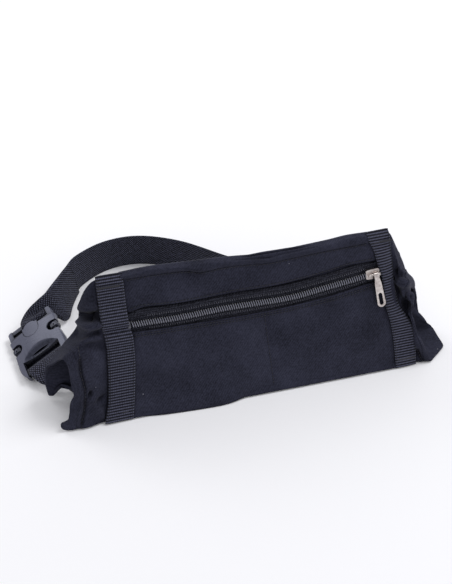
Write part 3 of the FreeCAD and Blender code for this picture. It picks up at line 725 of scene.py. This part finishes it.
def creases(p, t):
    """Small folds, as a push out of the cloth, at a point of the sleeve's front."""
    v = p.dot(UP_SLOPE)
    return ease((1.1 - t) / 0.2) * left_folds(p, v) + ease((t - 1.95) / 0.2) * right_folds(p, v)


def sleeve_rows(marks, rounds, lift=0.0):
    """Rows of points and cloth coordinates for marks along the tube and marks round it."""
    rows, uvs = [], []
    for t in marks:
        loop, ahead, behind = (round_tube(t + step) for step in (0, 0.02, -0.02))
        row, uv, length = [], [], 0.0
        for s in rounds:
            p = loop(s) + (rim_pull(t, s) if t < 1 or t > 2 else Vector())
            along = ahead(s) - behind(s)
            round_it = loop(min(s + 0.05, 10)) - loop(max(s - 0.05, 0))
            normal = along.cross(round_it).normalized()
            soft = 0.9 * ripple(p.x / 30 + s, s * 1.3, 11) + 0.4 * ripple(p.x / 9, s * 2.6, 12)
            front_share = ease((5.3 - s) / 0.5) * ease(s / 0.25)
            q = p + normal * (lift + creases(p, t) * front_share + soft * (0 < t < 3))
            q.z = max(q.z, 1.3)
            if row:
                length += (q - row[-1]).length
            row.append(q)
            uv.append((p.x, length))
        rows.append(row)
        uvs.append(uv)
    return rows, uvs


def sleeve():
    """The sleeve's cloth, with the four folded hems of its mouths."""
    marks = steps(0, 1, 44)[:-1] + steps(1, 2, 44)[:-1] + steps(2, 3, 36)
    tube, uvs = sleeve_rows(marks, steps(0, 10, 170))
    cloth = cloth_sheet("sleeve_cloth", tube[::-1], uvs[::-1], FABRIC, CLOTH,
                        nodes=["sleeve_front", "sleeve_back"], finish="fabric_black")
    for side, rim, inner in (("left", 0.0, 0.26), ("right", 3.0, 2.62)):
        for layer, first, last in (("front", 0.0, 5.0), ("back", 5.0, 8.0)):
            marks = steps(rim, inner, 9) if side == "left" else steps(inner, rim, 9)
            rows, uvs = sleeve_rows(marks, steps(first, last, 72 if layer == "front" else 44), 0.75)
            cloth_sheet(f"hem_{side}_{layer}", rows[::-1], uvs[::-1], FABRIC, 0.8,
                                    nodes=[f"mouth_hem_{side}_{layer}"], finish="fabric_black")


# ---- Webbing strips ----

STRIP_WIDTH = 24.5
STRIP = 1.2                  # thickness of the strips' backing


def ribbed_strip(name, inner, outer, node):
    """A ribbed webbing strip from the foot of the front to its top, with thicker selvedges."""
    rows, uvs = [], []
    fine = 8                            # rows to one rib
    count = round(PANEL_HEIGHT / RIB * fine)
    for i in range(count + 1):
        v = 0.6 + i * RIB / fine
        rib = (0.5 - 0.5 * math.cos(2 * math.pi * i / fine)) ** 1.6
        row, uv = [], []
        for a in (0, 0.02, 0.07, 0.1, 0.3, 0.5, 0.7, 0.9, 0.93, 0.98, 1):
            edge = min(a, 1 - a)
            u = mix(inner(v), outer(v), a)
            crown = 1.7 + 0.55 * rib * ease((edge - 0.04) / 0.06) + 0.25 * hump(edge, 0.045, 0.03)
            drop = 0.9 * ease(1 - edge / 0.02) + strip_roll(inner(v), outer(v), a)
            tip = 2.2 * ease((v - 136) / 5)
            row.append(front(u, v - 0.25 * tip, relief(u, min(v, 139)) * 0.8 + strip_slack(u, v) + crown
                             - drop - tip))
            uv.append((a * STRIP_WIDTH, v - 0.6))
        rows.append(row)
        uvs.append(uv)
    if inner(0) > outer(0):
        rows = [row[::-1] for row in rows]
        uvs = [uv[::-1] for uv in uvs]
    thick_grid(name, rows, uvs, RIBBED, STRIP, nodes=[node], finish="webbing_black")


def strip_roll(inner, outer, a):
    """Where a strip looks narrower than it is woven, its outer part rolls back with the wing."""
    hidden = max(STRIP_WIDTH - 1 - abs(outer - inner), 0)
    return 0.75 * hidden * a ** 2.2


def strip_slack(u, v):
    """The left strip buckles at its middle; the right one waves a little."""
    if u < 0:
        return 2.4 * hump(v, 99, 8) - 2.0 * hump(v, 89, 3.0) + 1.8 * hump(v, 80, 7)
    return 0.9 * hump(v, 60, 10) + 0.7 * hump(v, 104, 12)


def strips():
    ribbed_strip("ribbed_strip_left", strip_left_inner, strip_left_outer, "strip_left")
    ribbed_strip("ribbed_strip_right", strip_right_inner, strip_right_outer, "strip_right")


# ---- Zipper ----

ZIP_TURN = math.atan(ZIP_RISE)
ZIP_ALONG = Vector((1, 0, 0)) * math.cos(ZIP_TURN) + UP_SLOPE * math.sin(ZIP_TURN)
ZIP_ACROSS = UP_SLOPE * math.cos(ZIP_TURN) - Vector((1, 0, 0)) * math.sin(ZIP_TURN)
TAPE_FACE = -1.5             # the tapes' outer face, behind the cloth's plane
COIL_PITCH = 2.1
COIL_FOOT = 3.2              # where a loop leaves its tape, from the zipper's middle
COIL_REACH = 2.6             # how far the upper half's loops arch past the middle
COIL_RISE = 2.7
COIL_WIRE = 0.46             # radius of the wire
CHAIN_STITCHES = 5.9         # the sewn line beside either coil, from the middle


def on_zip(a, b, c):
    """A point of the zipper: along it, across it, outwards from the cloth's plane."""
    return front(0, ZIP_MIDDLE, 0) + ZIP_ALONG * a + ZIP_ACROSS * (b + zip_sag(a)) + OUT * c


def zip_tape(side, name):
    """One woven tape, which dips in a narrow gap along the edge of its lip."""
    rows, uvs = [], []
    for b in steps(0.5, 18.5, 36):
        row = []
        for a in steps(-130, 127, 110):
            p = on_zip(a, side * b, TAPE_FACE + 0.15 * ripple(a / 20, b, 9))
            v = p.dot(UP_SLOPE)
            edge = upper_lip(p.x) - 0.9 if side > 0 else lower_lip(p.x) + 0.7
            row.append(p - OUT * ((3.2 if side > 0 else 1.2) * hump(v, edge, 1.0)))
        rows.append(row)
        uvs.append([(a, b) for a in steps(-130, 127, 110)])
    if side < 0:
        rows, uvs = rows[::-1], uvs[::-1]
    cloth_sheet(f"zip_tape_cloth_{name}", rows, uvs, ZIP_CLOTH, 0.6, nodes=[f"zip_tape_{name}"],
                finish="zip_tape")


def zip_coil(side, name):
    """One half of the zipper's chain: a nylon wire in loops that rise over a dome.

    The upper half's loops arch right over; the lower half's mesh between them, under their ends."""
    sides, per_turn = 6, 16
    reach, rise = (COIL_REACH, COIL_RISE) if side > 0 else (-0.4, COIL_RISE - 0.9)
    turns = int((ZIP_RIGHT - ZIP_LEFT - 1) / COIL_PITCH)
    path = []
    for i in range(turns * per_turn + 1):
        share = i / per_turn % 1
        slant = 0.5 * math.sin(math.pi * share)
        a = ZIP_LEFT + 0.5 + COIL_PITCH * i / per_turn + (COIL_PITCH / 2 if side < 0 else slant)
        b = mix(COIL_FOOT, -reach, (1 - math.cos(2 * math.pi * share)) / 2)
        dome = rise * math.sqrt(max(1 - (b / (COIL_FOOT + 0.4)) ** 2, 0))
        c = 0.6 + (dome if share < 0.5 else 0.25 * dome)
        path.append(on_zip(a, side * b, TAPE_FACE + c))
    points = []
    for i, p in enumerate(path):
        heading = (path[min(i + 1, len(path) - 1)] - path[max(i - 1, 0)]).normalized()
        one = heading.cross(ZIP_ALONG).normalized()
        two = heading.cross(one)
        points += ring_of_points(p, one, two, COIL_WIRE, sides)
    make_piece(f"zip_chain_{name}", points, tube_faces(len(path), sides), COIL,
               nodes=[f"zip_coil_{name}"], finish="zip_coil")


def zipper():
    for side, name in ((1, "upper"), (-1, "lower")):
        zip_tape(side, name)
        zip_coil(side, name)
    rows = []
    first = ZIP_LEFT + 16               # clear of the slider at its left limit
    last = ZIP_RIGHT - 12
    for side in (1, -1):
        path = [on_zip(a, side * CHAIN_STITCHES, TAPE_FACE + 0.15) for a in steps(first, last, 110)]
        rows.append(stitch_row(path, OUT, COIL_PITCH, 1.7, 0.3, sideways=True))
    stitching("zip_chain_stitches", rows, PALE_THREAD)


# ---- Belt ----

BUCKLE_AT = Vector((-195.7, 99.8, 17.0))
BUCKLE_TURN = Quaternion((0, 0, 1), math.radians(9)) @ Quaternion((0, 1, 0), math.radians(-29))
MALE_BAR = 31.8              # where the halves' bars are, along the buckle
FEMALE_BAR = -25.2
BELT_SEWN = 48.0             # height of the belt's middle where it is sewn on
FOLD_AT = 139.0              # the belt folds back behind the pack's right end
FOLD_RADIUS = 10.0


def buckle_point(x, y, z):
    """A point of the buckle: across it, towards its male end, up."""
    return BUCKLE_AT + BUCKLE_TURN @ Vector((x, y, z))


def belt_route():
    """The belt's middle line and outward lean, from its sewn end to just short of the buckle."""
    wall = back_y(BELT_SEWN) + BELT / 2 + 0.6
    wall_lean = -math.degrees(math.atan(BACK_SLOPE))
    route = [(x, wall, BELT_SEWN, wall_lean) for x in (100, 118, 131)]
    for k in range(5):
        turn = math.radians(45 * k)
        route.append((FOLD_AT + FOLD_RADIUS * math.sin(turn), wall + FOLD_RADIUS * (1 - math.cos(turn)),
                      BELT_SEWN, wall_lean * (1 - k / 4)))
    return route + [(104, wall + 24, 45, 0), (60, 92, 37, 0), (30, 122, 30, 0), (2, 154, 24, 0),
                    (-36, 194, 19.2, 0), (-76, 213, 19, 0), (-112, 212, 19, 2), (-142, 196, 19, 7),
                    (-154, 180, 19, 11), (-163, 165, 18.8, 18), (-171, 150, 18.4, 30)]


def route_stations(route, per_leg):
    """Stations of (middle, travel, across) along a route of (x, y, z, lean)."""
    line = through([(k, Vector(p[:3])) for k, p in enumerate(route)])
    lean_at = through([(k, p[3]) for k, p in enumerate(route)])
    last = len(route) - 1
    stations = []
    for k in steps(0, last, last * per_leg):
        travel = (line(min(k + 0.02, last)) - line(max(k - 0.02, 0))).normalized()
        outward = Vector((travel.y, -travel.x, 0)).normalized()
        lean = math.radians(lean_at(k))
        across = Vector((0, 0, 1)) * math.cos(lean) + outward * math.sin(lean)
        across = (across - travel * across.dot(travel)).normalized()
        stations.append((line(k), travel, across))
    return stations


def twist(start, finish, count):
    """Stations that carry a strap smoothly from one station to another, turning it on the way."""
    (a, travel_a, across_a), (b, travel_b, across_b) = start, finish
    reach = (b - a).length
    turn = across_a.rotation_difference(across_b)
    stations = []
    for t in steps(0, 1, count)[1:]:
        p = (a * (1 - t) ** 3 + (a + travel_a * reach * 0.4) * (3 * t * (1 - t) ** 2)
             + (b - travel_b * reach * 0.3) * (3 * t * t * (1 - t)) + b * t ** 3)
        travel = (travel_a * (1 - t) + travel_b * t).normalized()
        across = Quaternion().slerp(turn, ease(t)) @ across_a
        stations.append((p, travel, (across - travel * across.dot(travel)).normalized()))
    return stations


def beside(stations, shift):
    """The same stations, moved along the strap's normal by a shift for each share of the way."""
    last = len(stations) - 1
    return [(p + across.cross(travel).normalized() * shift(i / last), travel, across)
            for i, (p, travel, across) in enumerate(stations)]


def drawn_in(stations, share):
    """The same stations, where the strap bunches up towards its inner selvedge on the way."""
    last = len(stations) - 1
    narrow = []
    for i, (p, travel, across) in enumerate(stations):
        width = mix(1.0, share, ease(i / last))
        narrow.append((p - across * (1 - width) * BELT_HALF, travel, across * width))
    return narrow


def round_bar(bar, heading, across, radius):
    """Half a turn of strap round a buckle's bar, from its underside to its top."""
    up = across.cross(heading).normalized()
    stations = []
    for turn in steps(-90, 90, 10)[1:-1]:
        a = math.radians(turn)
        p = bar + heading * (math.cos(a) * radius) + up * (math.sin(a) * radius)
        stations.append((p, (up * math.cos(a) - heading * math.sin(a)).normalized(), across))
    return stations


def belt():
    """The long belt, round the male half's bar and back along itself to its spare end."""
    run = route_stations(belt_route(), 6)
    heading = BUCKLE_TURN @ Vector((0, -1, 0))
    across = BUCKLE_TURN @ Vector((-1, 0, 0))
    bar = buckle_point(0, MALE_BAR, 0)
    turn = drawn_in(twist(run[-1], (bar, heading, across), 14), 0.74)
    bar, heading, across = turn[-1]
    out = run + beside(turn, lambda t: -3.0 * ease((t - 0.5) * 2))
    wrap = round_bar(bar, heading, across, 3.0)
    back = list(reversed(beside(run[-15:] + turn, lambda t: 1.9 + 1.1 * ease((t - 0.75) * 4))))
    back = [(p, -travel, across) for p, travel, across in back]
    piece = band("belt_band", out + wrap + back, BELT_HALF, BELT, WEBBING, body=None,
                 nodes=["belt_webbing", "belt_end", "belt_tail", "belt_loop"], finish="webbing_black")
    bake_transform(piece)


def short_strap():
    """The short strap, sewn to the back of the left end and wrapped round the female half's bar."""
    wall = back_y(30) + 0.6
    upright = Vector((0, BACK_SLOPE, 1)).normalized()
    sewn = at(-134, wall + 1.2, 30)
    bend = (at(-166, wall + 1.4, 29), at(-1, 0, 0), upright)
    heading = BUCKLE_TURN @ Vector((0, 1, 0))
    across = BUCKLE_TURN @ Vector((1, 0, 0))
    bar = buckle_point(0, FEMALE_BAR, 0)
    run = [(sewn.lerp(bend[0], t), bend[1], upright) for t in steps(0, 1, 6)]
    turn = twist(bend, (bar, heading, across), 12)
    line = run + turn
    out = beside(line, lambda t: -0.9 - 2.3 * ease((t - 0.7) * 3.3))
    wrap = round_bar(bar, heading, across, 3.2)
    back = list(reversed(beside(line, lambda t: 0.9 + 2.3 * ease((t - 0.7) * 3.3))))
    back = [(p, -travel, side) for p, travel, side in back]
    band("short_strap_band", out + wrap + back, BELT_HALF - 0.4, BELT, WEBBING, nodes=["short_strap"],
         finish="webbing_black")


# ---- Seams ----

def seam_on_front(line, first, last, lift):
    """A seam along the front: line gives its height for each place along the pack."""
    return stitch_row([on_front_face(u, line(u), lift) for u in steps(first, last, 90)], OUT)


def seam_on_wing(seam, rows):
    """A seam beside a mouth: where each line of the hem's outer face crosses the seam's place."""
    path = []
    for column in zip(*rows):
        past = [p.x - seam(p.dot(UP_SLOPE)) for p in column]
        for p, q, a, b in zip(column, column[1:], past, past[1:]):
            if a < 0 <= b:
                path.append(p.lerp(q, a / (a - b)) + OUT * 0.2)
                break
    return stitch_row(path, OUT, 3.4, 2.4, 0.3)


def strip_seams(inner, outer):
    """The two rows of stitches that hold one strip, just inside its selvedges."""
    rows = []
    for a in (0.07, 0.93):
        path = []
        for v in steps(3, 138, 120):
            u = mix(inner(v), outer(v), a)
            roll = strip_roll(inner(v), outer(v), a)
            path.append(front(u, v, relief(u, min(v, 139)) * 0.8 + strip_slack(u, v) + 2.05 - roll))
        rows.append(stitch_row(path, OUT, 2.7, 1.9, 0.26))
    return rows


def seams():
    lips = [seam_on_front(lambda u: upper_lip(u) + 2.2, -112, 114, 0.12),
            seam_on_front(lambda u: lower_lip(u) - 2.2, -112, 118, 0.12),
            seam_on_front(lambda u: lower_lip(u) - 4.4, -112, 118, 0.12)]
    divider_row = stitch_row([on_front_face(divider(v), v, 0.1) for v in steps(6, 79, 50)], OUT)
    stitching("pocket_stitches", lips + [divider_row], THREAD)
    stitching("band_stitches", [seam_on_front(lambda u: band_seam(u) - 0.7, -112, 108, 0.1)], THREAD)
    stitching("strip_stitches_left", strip_seams(strip_left_inner, strip_left_outer), THREAD)
    stitching("strip_stitches_right", strip_seams(strip_right_inner, strip_right_outer), THREAD)
    for side, seam, marks, high in (("left", LEFT_SEAM, steps(0.02, 0.6, 30), 4.1),
                                    ("right", RIGHT_SEAM, steps(2.4, 2.98, 30), 2.7)):
        rows, _ = sleeve_rows(marks, steps(0.1, high, 70), 0.75)
        stitching(f"mouth_stitches_{side}", [seam_on_wing(seam, rows)], THREAD)


# ---- Scene ----

def floor():
    mesh = bpy.data.meshes.new("floor")
    floor_z = CAD_BOX[0].z
    reach = 30.0
    corners = [(-1, -1), (1, -1), (1, 1), (-1, 1)]
    mesh.from_pydata([(x * reach, y * reach, floor_z) for x, y in corners], [], [(0, 1, 2, 3)])
    n = Nodes("pale_floor")
    cloud = n.grain(n.place("Object"), 3.0)
    colour = n.colour_mix(cloud, (0.94, 0.94, 0.97), (0.955, 0.955, 0.98))
    mesh.materials.append(n.finish(colour, n.remap(cloud, 0, 1, 0.85, 0.95), Specular_IOR_Level=0.1))
    plane = bpy.data.objects.new("floor", mesh)
    bpy.context.scene.collection.objects.link(plane)


def aimed(name, data, place, target):
    """A lamp or camera at a place in the scene, facing a target."""
    thing = bpy.data.objects.new(name, data)
    thing.location = place
    thing.rotation_mode = "QUATERNION"
    thing.rotation_quaternion = (place - target).to_track_quat("Z", "Y")
    bpy.context.scene.collection.objects.link(thing)
    return thing


def lamp(name, place, size, power):
    """A square lamp that faces the pack; metres and watts."""
    data = bpy.data.lights.new(name, "AREA")
    data.size = size
    data.energy = power
    aimed(name, data, Vector(place), Vector((0, 0, 0.05)))


def studio():
    """A pale room and one big soft lamp from the upper right."""
    world = bpy.data.worlds.new("studio")
    world.use_nodes = True
    sky = world.node_tree.nodes["Background"]
    sky.inputs["Color"].default_value = (0.985, 0.985, 1.0, 1)
    sky.inputs["Strength"].default_value = 0.66
    bpy.context.scene.world = world
    lamp("key", (1.25, 0.15, 2.05), 1.0, 23)
    lamp("behind_left", (-0.85, 1.05, 1.05), 0.8, 5.0)
    bpy.context.scene.view_settings.view_transform = "Standard"


def camera():
    """The photograph's view: from the front left, 42 degrees above the floor."""
    data = bpy.data.cameras.new("camera")
    data.lens = 64.73
    data.sensor_width = 36.0
    data.clip_start = 0.05
    data.clip_end = 60
    place = ORIGIN + at(-200.2, -638.3, 729.1) * MM
    target = ORIGIN + at(-15.2, 81.4, 60.0) * MM
    bpy.context.scene.camera = aimed("camera", data, place, target)


KEPT_NODES = {"zip_bottom_stop": COIL, "slider_body": NICKEL, "slider_pull": NICKEL,
              "strip_bartacks": THREAD, "anchor_stitching": THREAD, "buckle_female": PLASTIC,
              "buckle_male": PLASTIC, "buckle_arm_left": PLASTIC, "buckle_arm_right": PLASTIC}
for node, material in KEPT_NODES.items():
    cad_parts[node].data.materials.clear()
    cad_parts[node].data.materials.append(material)

pocket_cloth()
top_band()
sleeve()
strips()
zipper()
belt()
short_strap()
seams()
camera()
studio()
floor()
